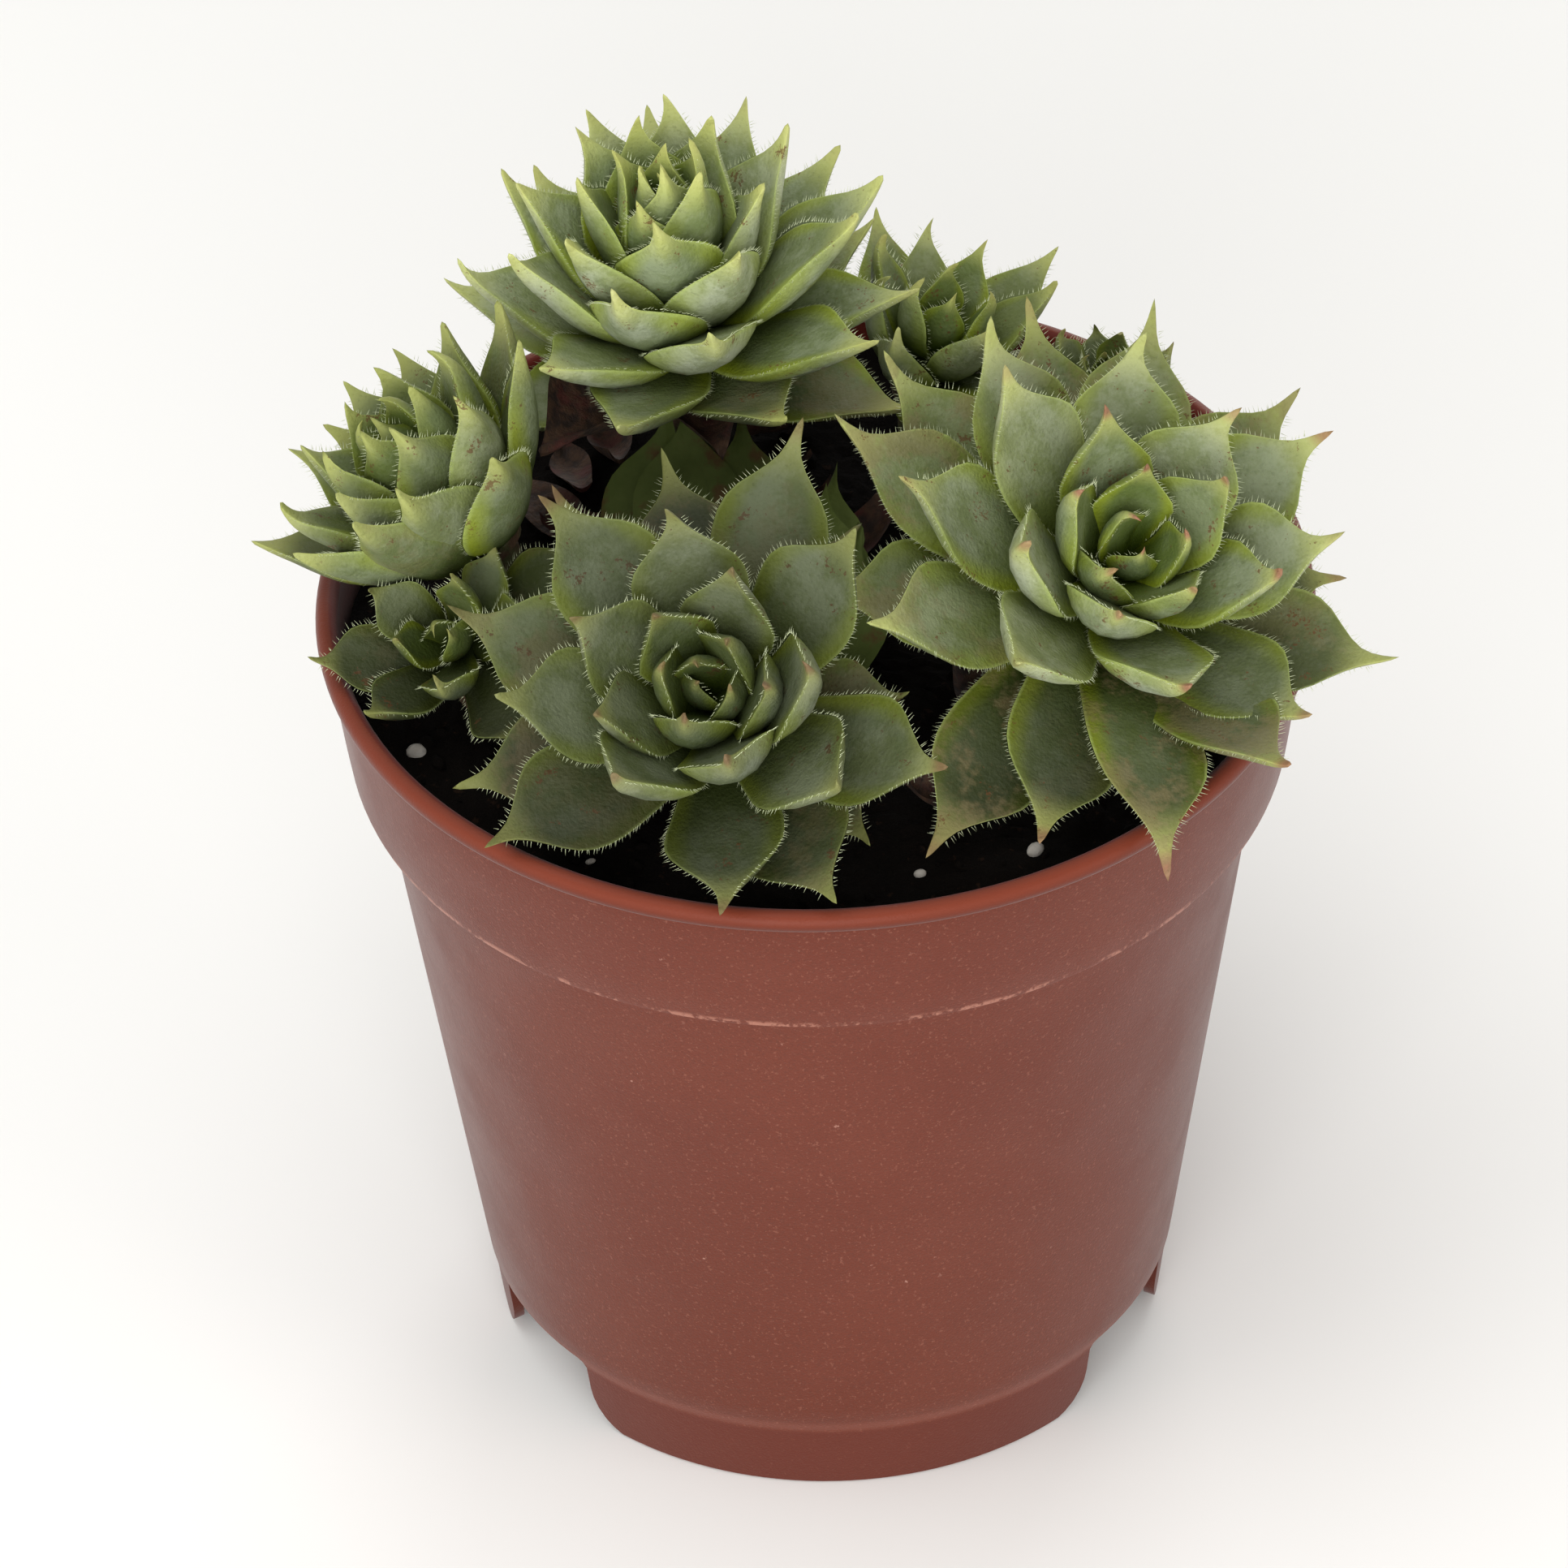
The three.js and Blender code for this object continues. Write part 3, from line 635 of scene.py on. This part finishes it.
def make_litter(blank, outline):
    """Old leaves on the soil: the dry ones lie curled, and the faded green ones still lean up."""
    fallen = []
    for number in range(LITTER + FADED):
        faded = number >= LITTER
        middle, reach = (FADED_MIDDLE, FADED_REACH) if faded else ((0, 0), LITTER_REACH)
        r = reach * math.sqrt(dice.random())
        a = dice.random() * math.tau
        turn = dice.random() * math.tau
        length = dice.uniform(*LITTER_LENGTHS)
        curl = dice.uniform(*LITTER_CURLS)
        twist = dice.uniform(-1, 1)
        lean, broad, material = 0, LITTER_WIDTH, leaf_dry
        if faded:
            turn = dice.uniform(*FADED_TURNS)
            length = dice.uniform(*FADED_LENGTHS)
            lean = dice.uniform(*FADED_LEANS)
            curl = FADED_CURL * curl
            broad, material = FADED_WIDTH, leaf_faded
        leaf = copy_of(blank)
        co = coordinates(leaf.data)
        share = co[:, 1]
        wide, thick = leaf_section(outline, share)
        across, rise = co[:, 0] / wide, co[:, 2] / thick
        along = (share - 0.5) * length
        aside = across * wide * broad * length
        x = middle[0] + r * math.cos(a) + along * math.cos(turn) - aside * math.sin(turn)
        y = middle[1] + r * math.sin(a) + along * math.sin(turn) + aside * math.cos(turn)
        lift = curl * ((2 * share - 1) ** 2 + across**2) + twist * across * share
        lift += 0.4 * np.sin(6 * share + turn)
        z = soil_height(x, y) + 0.9 + lift + 0.3 * rise + lean * share * length
        leaf.data.vertices.foreach_set("co", (np.column_stack([x, y, z]) * MM).ravel())
        leaf.data.materials.clear()
        leaf.data.materials.append(material)
        fallen.append(leaf)
    join_all(fallen, fallen[0])
    return finish_piece(fallen[0], "old_leaves", angle=60)


def make_hairs(margins, spike):
    """Fine hairs along the leaf margins: copies of one three-sided spike."""
    base = np.vstack([root for root, _ in margins])
    aim = np.vstack([beyond for _, beyond in margins]) - base
    aim += dice.normal(0, HAIR_SWAY, aim.shape)
    aim /= np.linalg.norm(aim, axis=1)[:, None]
    length = dice.uniform(*HAIR_LENGTHS, len(base))[:, None]
    side = np.cross(aim, [0.3, 0.2, 0.93])
    side /= np.linalg.norm(side, axis=1)[:, None]
    other = np.cross(aim, side)
    shape = coordinates(spike)
    points = (
        base[:, None]
        + side[:, None] * shape[None, :, 0, None] * HAIR_RADIUS
        + other[:, None] * shape[None, :, 1, None] * HAIR_RADIUS
        + aim[:, None] * (shape[None, :, 2, None] + HAIR_START) * length[:, None]
    )
    faces = []
    for hair in range(len(base)):
        first = hair * len(shape)
        faces += [tuple(first + corner for corner in p.vertices) for p in spike.polygons]
    mesh = bpy.data.meshes.new("hairs")
    mesh.from_pydata((points.reshape(-1, 3) * MM).tolist(), [], faces)
    hairs = bpy.data.objects.new("hairs", mesh)
    bpy.context.collection.objects.link(hairs)
    return hairs


def make_stem(head):
    """The core that the leaves grow from and the short stem under it."""
    face, side, up = facing(head)
    radius, height = head["core"]
    profile = [
        (radius + 0.6, -1.6), (radius + 1.5, 0.3), (0.55 * radius + 1.4, 0.5 * height), (0, height),
    ]
    core = rings_up(profile, CORE_SIDES)
    top = np.array(head["place"], float)
    turn = Matrix(np.column_stack([side, up, face]).tolist()).to_4x4()
    core.data.transform(Matrix.Translation(top * MM) @ turn)
    bottom = np.array([*head["foot"], POT_HEIGHT - STEM_DEPTH])
    along = top - bottom
    deselect()
    bpy.ops.mesh.primitive_cylinder_add(
        vertices=STEM_SIDES, radius=head["stem"] * MM, depth=np.linalg.norm(along) * MM
    )
    stem = bpy.context.object
    turn = Vector((0, 0, 1)).rotation_difference(Vector(along)).to_matrix().to_4x4()
    stem.data.transform(Matrix.Translation((top + bottom) / 2 * MM) @ turn)
    return join_all([core, stem], core)


def make_head(name, blanks, spike):
    """A whole rosette: leaves from the heart outward, hairs, core and stem."""
    head = HEADS[name]
    leaves, margins = [], []
    for number in range(head["count"]):
        if number in head.get("gone", ()):
            continue
        kind = "pointed" if head.get("pointed") else "broad"
        if number < BUD_SHARE * head["count"]:
            kind = "bud"
        leaf, edges = grow_leaf(*blanks[kind], name, number)
        leaves.append(leaf)
        margins += edges
    stem = make_stem(head)
    stem.data.materials.append(stem_skin)
    hairs = make_hairs(margins, spike)
    hairs.data.materials.append(leaf_hair)
    join_all([stem, hairs, *leaves], leaves[0])
    return finish_piece(leaves[0], name + "_leaves", angle=60)


# ---- Materials ----
class Nodes:
    """Short names for the nodes of one material or group."""

    def __init__(self, tree):
        self.tree = tree

    def add(self, kind, inputs=None, **settings):
        node = self.tree.nodes.new(kind)
        for key, value in settings.items():
            setattr(node, key, value)
        for key, value in (inputs or {}).items():
            if isinstance(value, bpy.types.NodeSocket):
                self.tree.links.new(value, node.inputs[key])
            else:
                node.inputs[key].default_value = value
        return node

    def math(self, operation, a, b=0.0, clamp=False):
        return self.add("ShaderNodeMath", {0: a, 1: b}, operation=operation, use_clamp=clamp).outputs[0]

    def times(self, value, *factors):
        for factor in factors:
            value = self.math("MULTIPLY", value, factor)
        return value

    def plus(self, a, b, clamp=False):
        return self.math("ADD", a, b, clamp)

    def minus(self, a, b):
        return self.math("SUBTRACT", a, b)

    def vector(self, operation, a, b=(0, 0, 0), output="Vector"):
        return self.add("ShaderNodeVectorMath", {0: a, 1: b}, operation=operation).outputs[output]

    def span(self, value, low, high):
        """0 at low, 1 at high, smooth between."""
        given = {"Value": value, "From Min": low, "From Max": high}
        return self.add("ShaderNodeMapRange", given, interpolation_type="SMOOTHSTEP").outputs["Result"]

    def mix(self, amount, a, b):
        return self.add("ShaderNodeMix", {0: amount, 6: a, 7: b}, data_type="RGBA").outputs[2]

    def noise(self, vector, scale, detail=3.0, rough=0.5):
        given = {"Vector": vector, "Scale": scale, "Detail": detail, "Roughness": rough}
        return self.add("ShaderNodeTexNoise", given).outputs["Fac"]

    def value(self, name):
        """A value that is kept for each vertex."""
        return self.add("ShaderNodeAttribute", attribute_name=name).outputs["Fac"]


def srgb(r, g, b):
    """A colour given as it shows on a screen, 0 to 255."""
    return tuple(((c / 255 + 0.055) / 1.055) ** 2.4 if c > 10 else c / 3294.6 for c in (r, g, b)) + (1.0,)


def patches_group():
    """Cloudy patches: 0 outside, 1 inside, with grainy borders."""
    group = bpy.data.node_groups.new("cloudy patches", "ShaderNodeTree")
    face = group.interface
    face.new_socket("Vector", in_out="INPUT", socket_type="NodeSocketVector")
    for name, value in (("Scale", 100.0), ("Low", 0.5), ("High", 0.6), ("Grain", 0.1)):
        face.new_socket(name, in_out="INPUT", socket_type="NodeSocketFloat").default_value = value
    face.new_socket("Mask", in_out="OUTPUT", socket_type="NodeSocketFloat")
    n = Nodes(group)
    given = n.add("NodeGroupInput").outputs
    wide = n.noise(given["Vector"], given["Scale"], 4.0, 0.6)
    fine = n.noise(given["Vector"], n.times(given["Scale"], 9.0), 2.0, 0.6)
    both = n.plus(wide, n.times(n.minus(fine, 0.5), given["Grain"]))
    n.add("NodeGroupOutput", {"Mask": n.span(both, given["Low"], given["High"])})
    return group


PATCHES = patches_group()


class Skin(Nodes):
    """A new material's nodes, with its shader and the place on the object."""

    def __init__(self, name, rough, **constants):
        self.material = bpy.data.materials.new(name)
        self.material.use_nodes = True
        super().__init__(self.material.node_tree)
        self.shader = self.tree.nodes["Principled BSDF"]
        self.shader.inputs["Roughness"].default_value = rough
        for key, value in constants.items():
            self.shader.inputs[key.replace("_", " ")].default_value = value
        self.place = self.add("ShaderNodeTexCoord").outputs["Object"]

    def grains(self, scale, detail=3.0, rough=0.5):
        return self.noise(self.place, scale, detail, rough)

    def patches(self, scale, low, high, grain=0.1):
        given = {"Vector": self.place, "Scale": scale, "Low": low, "High": high, "Grain": grain}
        return self.add("ShaderNodeGroup", given, node_tree=PATCHES).outputs["Mask"]

    def wear(self, key, value):
        self.tree.links.new(value, self.shader.inputs[key])

    def wear_bump(self, height, distance, strength):
        given = {"Height": height, "Distance": distance, "Strength": strength}
        self.wear("Normal", self.add("ShaderNodeBump", given).outputs["Normal"])


# Middle and half size, in metres, of the space between the heads, where shade is painted on the leaves.
HEART = (-0.008, 0, 0.099)
HEART_SIZE = (0.025, 0.021, 0.019)


def make_leaf_green():
    n = Skin("leaf green", 0.55, Specular_IOR_Level=0.2)
    along, across, upper, age = (n.value(k) for k in ("along", "across", "upper", "age"))
    tone, bloom, pale, blush = (n.value(k) for k in ("tone", "bloom", "pale", "blush"))
    height = n.add("ShaderNodeSeparateXYZ", {"Vector": n.place}).outputs["Z"]
    edge = n.math("ABSOLUTE", across)
    young = n.span(age, 0.45, 0.08)
    old = n.span(age, 0.75, 1.1)
    # Painted shade: darker near the soil and in the space between the heads.
    apart = n.vector("DIVIDE", n.vector("SUBTRACT", n.place, HEART), HEART_SIZE)
    apart = n.vector("LENGTH", apart, output="Value")
    low = n.times(n.span(height, 0.106, 0.092), 0.85)
    low = n.math("MAXIMUM", low, n.times(n.span(apart, 1.15, 0.6), 0.8))
    # Waxy bloom over the fresh green: full on the underside, patchy, less on young and old leaves.
    fresh = n.mix(tone, srgb(74, 86, 6), srgb(62, 76, 6))
    bloomed = n.mix(tone, srgb(146, 152, 130), srgb(130, 138, 116))
    under = n.span(upper, 0.55, 0.35)
    bloom = n.times(bloom, n.times(n.span(along, 0.1, 0.65), n.plus(0.6, n.times(under, 0.4))))
    bloom = n.times(bloom, n.minus(1.0, n.times(young, 0.35)))
    bloom = n.times(bloom, n.plus(0.5, n.times(n.patches(210, 0.36, 0.64, 0.3), 0.5)))
    bloom = n.times(bloom, n.minus(1.0, n.times(old, 0.35)))
    colour = n.mix(bloom, fresh, bloomed)
    # Painted shade toward the foot, yellower in the heart and beside the margins.
    foot_shade_green = srgb(32, 42, 4)
    heart_green = srgb(62, 80, 12)
    band_green = srgb(118, 130, 20)
    painted_shade_green = srgb(20, 24, 4)
    # Painted shade: darker toward each leaf's foot.
    colour = n.mix(n.times(n.span(along, 0.62, 0.1), 0.9), colour, foot_shade_green)
    colour = n.mix(n.times(young, 0.5), colour, heart_green)
    band = n.times(n.span(edge, 0.5, 0.95), n.span(along, 0.08, 0.3), n.span(along, 0.9, 0.6))
    colour = n.mix(n.times(band, n.plus(0.3, n.times(tone, 0.5))), colour, band_green)
    # Painted shade over the leaves near the soil and between the heads.
    colour = n.mix(low, colour, painted_shade_green)
    # Pale margins and cusps, and red-brown tips in the heart.
    margin_green = srgb(150, 164, 96)
    cusp_green = srgb(168, 172, 96)
    tip_brown = srgb(126, 72, 66)
    margin = n.times(n.span(edge, 0.93, 1.0), n.span(along, 0.1, 0.4))
    colour = n.mix(n.times(margin, 0.5), colour, margin_green)
    colour = n.mix(n.times(n.span(along, 0.72, 0.95), 0.6), colour, cusp_green)
    inner = n.plus(n.times(n.span(age, 0.7, 0.4), 0.8), n.span(tone, 0.5, 0.9), clamp=True)
    browned = n.times(n.span(along, 0.88, 0.96), inner, blush)
    colour = n.mix(n.times(browned, 0.8), colour, tip_brown)
    # Browning of old leaves, scars and freckles.
    old_brown = srgb(112, 98, 70)
    scar_brown = srgb(88, 58, 34)
    freckle_green = srgb(46, 52, 24)
    colour = n.mix(n.times(old, n.patches(140, 0.44, 0.6, 0.3), 0.45), colour, old_brown)
    scars = n.times(n.patches(330, 0.665, 0.7, 0.5), n.span(along, 0.3, 0.6))
    colour = n.mix(n.times(scars, 0.75), colour, scar_brown)
    colour = n.mix(n.times(n.patches(1700, 0.56, 0.7, 0.3), 0.22), colour, freckle_green)
    # Painted light and shade: each rosette's whole colour scaled lighter or darker by its pale value.
    lit_and_shaded = n.add("ShaderNodeVectorMath", {0: colour, "Scale": pale}, operation="SCALE")
    n.wear("Base Color", lit_and_shaded.outputs["Vector"])
    n.wear("Roughness", n.plus(0.46, n.times(n.grains(900), 0.22)))
    n.wear_bump(n.plus(n.grains(2600, 2), n.times(n.grains(500, 2), 1.5)), 0.00018, 0.6)
    return n.material


def make_leaf_dry():
    n = Skin("withered leaf", 0.8)
    streaks = n.grains(700, 4, 0.6)
    colour = n.mix(n.span(streaks, 0.35, 0.65), srgb(36, 21, 13), srgb(72, 48, 30))
    red_brown = srgb(70, 27, 18)
    n.wear("Base Color", n.mix(n.patches(300, 0.5, 0.7), colour, red_brown))
    n.wear_bump(streaks, 0.0006, 0.8)
    return n.material


def make_leaf_faded():
    n = Skin("faded leaf", 0.7, Specular_IOR_Level=0.2)
    colour = n.mix(n.grains(300, 4), srgb(60, 72, 22), srgb(92, 104, 50))
    brown = srgb(84, 66, 34)
    n.wear("Base Color", n.mix(n.patches(240, 0.56, 0.7), colour, brown))
    n.wear_bump(n.grains(900), 0.0003, 0.6)
    return n.material


def make_stem_skin():
    n = Skin("stem skin", 0.75)
    n.wear("Base Color", n.mix(n.patches(400, 0.36, 0.56), srgb(74, 78, 42), srgb(78, 56, 38)))
    n.wear_bump(n.grains(700, 4), 0.0008, 0.9)
    return n.material


def make_leaf_hair():
    n = Skin("leaf hair", 0.6, Specular_IOR_Level=0.2)
    n.wear("Base Color", n.mix(n.grains(500), srgb(176, 186, 142), srgb(206, 212, 180)))
    return n.material


def make_pot_plastic():
    n = Skin("pot plastic", 0.5, Specular_IOR_Level=0.13, Sheen_Weight=0.12)
    split = n.add("ShaderNodeSeparateXYZ", {"Vector": n.place}).outputs
    height = split["Z"]
    flat = n.add("ShaderNodeCombineXYZ", {"X": split["X"], "Y": split["Y"]}).outputs["Vector"]
    radius = n.vector("LENGTH", flat, output="Value")
    # Terracotta colour with cloudy patches, dark and pale specks.
    colour = n.mix(n.span(height, 0.085, 0.005), srgb(91, 39, 25), srgb(90, 38, 22))
    colour = n.mix(n.times(n.patches(28, 0.42, 0.66, 0.05), 0.3), colour, srgb(104, 51, 36))
    colour = n.mix(n.times(n.patches(3200, 0.5, 0.6, 0.2), 0.3), colour, srgb(74, 36, 25))
    colour = n.mix(n.times(n.patches(2500, 0.6, 0.66, 0.2), 0.35), colour, srgb(140, 90, 74))
    # A pale broken line along the collar's lower edge, and dust.
    collar_line_pale = srgb(190, 134, 114)
    dust_pale = srgb(196, 150, 134)
    line = n.minus(height, (COLLAR_BOTTOM + 0.3) * MM)
    near = n.span(n.math("ABSOLUTE", line), 0.0007, 0.0002)
    collar_line = n.times(near, n.patches(160, 0.42, 0.6, 0.8))
    colour = n.mix(n.times(collar_line, 0.4), colour, collar_line_pale)
    dust = n.times(n.patches(90, 0.5, 0.7, 0.3), n.patches(1100, 0.68, 0.74, 0.1))
    colour = n.mix(n.times(dust, 0.5), colour, dust_pale)
    # A lighter line where the foot starts, and the darker foot below it.
    line_pale = srgb(150, 84, 66)
    foot_dark = srgb(86, 34, 22)
    band = n.times(n.span(height, 0.0078, 0.0086), n.span(height, 0.0102, 0.0094))
    colour = n.mix(n.times(band, 0.15), colour, line_pale)
    colour = n.mix(n.times(n.span(height, 0.0088, 0.0078), 0.7), colour, foot_dark)
    # Lip, lighter on its crown.
    lip = n.span(height, (LIP_BOTTOM - 0.1) * MM, (LIP_BOTTOM + 0.25) * MM)
    lip_tone = n.mix(n.span(height, 0.0912, 0.0928), srgb(82, 32, 18), srgb(108, 46, 28))
    colour = n.mix(lip, colour, lip_tone)
    # Redder inside the collar, from the middle of its wall inward.
    inside_red = srgb(96, 30, 18)
    risen = n.minus(height, COLLAR_BOTTOM * MM)
    wall = n.plus(n.times(risen, COLLAR_FLARE), WALL_MIDDLE * MM)
    inside = n.span(n.minus(radius, wall), 0.1 * MM, -0.1 * MM)
    above = n.span(height, (COLLAR_BOTTOM - 1.4) * MM, (COLLAR_BOTTOM - 0.4) * MM)
    colour = n.mix(n.times(inside, above), colour, inside_red)
    n.wear("Base Color", colour)
    n.wear("Roughness", n.plus(0.42, n.times(n.patches(60, 0.35, 0.7), 0.14)))
    n.wear_bump(n.plus(n.grains(4200, 2), n.times(n.grains(900, 3), 0.6)), 0.00006, 0.6)
    return n.material


def make_soil_dark():
    n = Skin("dark soil", 0.95, Specular_IOR_Level=0.08)
    colour = n.mix(n.grains(420, 5, 0.7), srgb(4, 3, 2), srgb(19, 14, 10))
    fibre = srgb(50, 34, 24)
    n.wear("Base Color", n.mix(n.times(n.patches(700, 0.62, 0.7), 0.5), colour, fibre))
    n.wear_bump(n.grains(800, 6, 0.7), 0.0012, 0.9)
    return n.material


def make_grit_pale():
    n = Skin("pale grit", 0.8)
    n.wear("Base Color", n.mix(n.grains(900, 4), srgb(120, 112, 100), srgb(196, 192, 184)))
    n.wear_bump(n.grains(1500, 4), 0.0003, 0.7)
    return n.material


def make_floor_pale():
    n = Skin("pale floor", 0.9)
    n.wear("Base Color", n.mix(n.grains(3, 2), srgb(236, 236, 234), srgb(240, 240, 238)))
    return n.material


leaf_green = make_leaf_green()
leaf_dry = make_leaf_dry()
leaf_faded = make_leaf_faded()
stem_skin = make_stem_skin()
leaf_hair = make_leaf_hair()

# ---- Pieces ----
pot = make_pot()
pot.data.materials.append(make_pot_plastic())
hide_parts("pot")
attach(pot, "root")

soil = make_soil()
soil.data.materials.clear()
soil.data.materials.append(make_soil_dark())
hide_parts("soil")
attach(soil, "root")

grit = make_grit()
grit.data.materials.append(make_grit_pale())
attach(grit, "root")

outlines = {"broad": LEAF_OUTLINE, "pointed": POINTED_OUTLINE, "bud": BUD_OUTLINE}
blanks = {kind: (make_leaf_blank(outline), outline) for kind, outline in outlines.items()}
deselect()
bpy.ops.mesh.primitive_cone_add(vertices=3, radius1=1, depth=1, location=(0, 0, 0.5))
bpy.ops.object.transform_apply(location=True, rotation=False, scale=False)
spike = bpy.context.object
for name in HEADS:
    piece = make_head(name, blanks, spike.data)
    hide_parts(name)
    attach(piece, "root")
litter = make_litter(*blanks["broad"])
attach(litter, "root")
for model in [spike] + [blank for blank, _ in blanks.values()]:
    bpy.data.objects.remove(model)

# ---- Floor, light and camera ----
deselect()
bpy.ops.mesh.primitive_plane_add(size=6, location=(0, 0, 0))
floor = bpy.context.object
floor.name = "floor"
floor.data.materials.append(make_floor_pale())

world = bpy.data.worlds.new("soft white room")
bpy.context.scene.world = world
world.use_nodes = True
room = world.node_tree.nodes["Background"].inputs
room["Color"].default_value = (1, 0.99, 0.97, 1)
room["Strength"].default_value = 0.5


def soft_light(name, place, aim, size, power, tint=(1, 1, 1)):
    """A square lamp at a place, turned to what it lights."""
    light = bpy.data.lights.new(name, "AREA")
    light.energy = power
    light.size = size
    light.color = tint
    lamp = bpy.data.objects.new(name, light)
    bpy.context.collection.objects.link(lamp)
    lamp.location = place
    lamp.rotation_euler = (Vector(aim) - Vector(place)).to_track_quat("-Z", "Y").to_euler()


soft_light("overhead softbox", (-0.2, -0.1, 0.9), (0, 0, 0.09), 0.7, 3)
soft_light("front softbox", (-0.12, -1.0, 0.34), (0, 0, 0.06), 0.8, 11)
soft_light("right fill", (0.85, -0.45, 0.3), (0, 0, 0.06), 0.5, 2.5, (1, 0.93, 0.88))
soft_light("rear fill", (0.25, 1.0, 0.45), (0, 0, 0.06), 0.6, 3.5)
soft_light("left fill", (-0.85, -0.35, 0.3), (0, 0, 0.06), 0.5, 1.6, (1, 0.95, 0.9))

# Angles in radians, distance and shifts in millimetres, focal length in pixels of the photo.
ELEVATION = 0.69386
ROLL = -0.026076
DISTANCE = 1762.2
SHIFT_RIGHT = -5.143
SHIFT_UP = 51.906
FOCAL = 20000
PHOTO_WIDTH = 1932
SENSOR_WIDTH = 36
FARTHEST = 20
back = Vector((0, -math.cos(ELEVATION), math.sin(ELEVATION)))
right = Vector((1, 0, 0))
up = back.cross(right)
rolled_right = math.cos(ROLL) * right + math.sin(ROLL) * up
rolled_up = -math.sin(ROLL) * right + math.cos(ROLL) * up
camera = bpy.data.objects.new("camera", bpy.data.cameras.new("camera"))
bpy.context.collection.objects.link(camera)
camera.data.lens = FOCAL * SENSOR_WIDTH / PHOTO_WIDTH
camera.data.clip_end = FARTHEST
spot = (back * DISTANCE + rolled_right * SHIFT_RIGHT + rolled_up * SHIFT_UP) * MM
turn = Matrix((rolled_right, rolled_up, back)).transposed().to_4x4()
camera.matrix_world = Matrix.Translation(spot) @ turn
bpy.context.scene.camera = camera
bpy.context.scene.view_settings.view_transform = "Standard"
